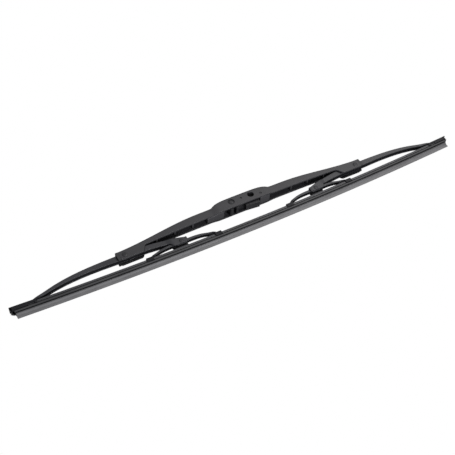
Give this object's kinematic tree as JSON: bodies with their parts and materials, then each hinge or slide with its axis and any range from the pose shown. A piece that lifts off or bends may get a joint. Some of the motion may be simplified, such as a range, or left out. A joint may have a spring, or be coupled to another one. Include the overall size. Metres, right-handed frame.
{
  "type": "wiper blade",
  "caption": "Bracket wiper blade: a bridge, paired secondary and tertiary yokes and their claws press one bowed rubber strip on the glass.",
  "frame": {"origin": "middle of the side pin bore in the bridge's hump", "axes": "+X along the blade towards its end beyond the side pin bore, +Y across it along the side pin bore, +Z away from the glass"},
  "size_m": [0.4524, 0.012, 0.0406],
  "materials": {
    "bridge": "moulded black, glass-filled, fine grain",
    "adapter": "moulded black, smooth",
    "liner": "moulded black",
    "yoke": "satin black powder coat",
    "rivet": "blackened steel",
    "rubber": "graphite grey, semi-matte",
    "strip": "spring steel, rolled"
  },
  "bodies": {
    "bridge": {"primary_bridge": "bridge", "centre_rivet": "rivet", "left_secondary_rivet": "rivet", "right_secondary_rivet": "rivet", "left_secondary_liner": "liner", "right_secondary_liner": "liner"},
    "adapter": {"adapter_clip": "adapter"},
    "left_secondary": {"left_secondary_yoke": "yoke", "left_tertiary_rivet": "rivet", "left_tertiary_liner": "liner"},
    "right_secondary": {"right_secondary_yoke": "yoke", "right_tertiary_rivet": "rivet", "right_tertiary_liner": "liner"},
    "left_tertiary": {"left_tertiary_yoke": "yoke"},
    "right_tertiary": {"right_tertiary_yoke": "yoke"},
    "wiping_element": {"rubber_blade": "rubber", "front_strip": "strip", "rear_strip": "strip"}
  },
  "joints": [
    {"name": "adapter_swivel", "type": "hinge", "parent": "bridge", "child": "adapter", "pos_m": [-0.0204, 0, 0], "axis": [0, 1, 0], "range_deg": [-15, 15]},
    {"name": "left_secondary_rock", "type": "hinge", "parent": "bridge", "child": "left_secondary", "pos_m": [-0.131, 0, -0.011], "axis": [0, -1, 0], "range_deg": [-4, 6], "stiffness_Nm_per_rad": 0.8, "deforming": ["rubber_blade", "front_strip", "rear_strip"]},
    {"name": "right_secondary_rock", "type": "hinge", "parent": "bridge", "child": "right_secondary", "pos_m": [0.1106, 0, -0.011], "axis": [0, 1, 0], "range_deg": [-4, 6]},
    {"name": "left_tertiary_rock", "type": "hinge", "parent": "left_secondary", "child": "left_tertiary", "pos_m": [-0.0807, 0, -0.0186], "axis": [0, -1, 0], "range_deg": [-3, 2]},
    {"name": "right_tertiary_rock", "type": "hinge", "parent": "right_secondary", "child": "right_tertiary", "pos_m": [0.0603, 0, -0.0186], "axis": [0, 1, 0], "range_deg": [-3, 2]},
    {"name": "element_lift", "type": "slide", "parent": "bridge", "child": "wiping_element", "axis": [0, 0, 1], "range_m": [-0.0048, 0.0071]}
  ],
  "couplings": [
    {"joint": "right_secondary_rock", "follows": "left_secondary_rock", "ratio": 1},
    {"joint": "left_tertiary_rock", "follows": "left_secondary_rock", "ratio": -0.5},
    {"joint": "right_tertiary_rock", "follows": "left_secondary_rock", "ratio": -0.5},
    {"joint": "element_lift", "follows": "left_secondary_rock", "m_per_rad": 0.0668}
  ]
}
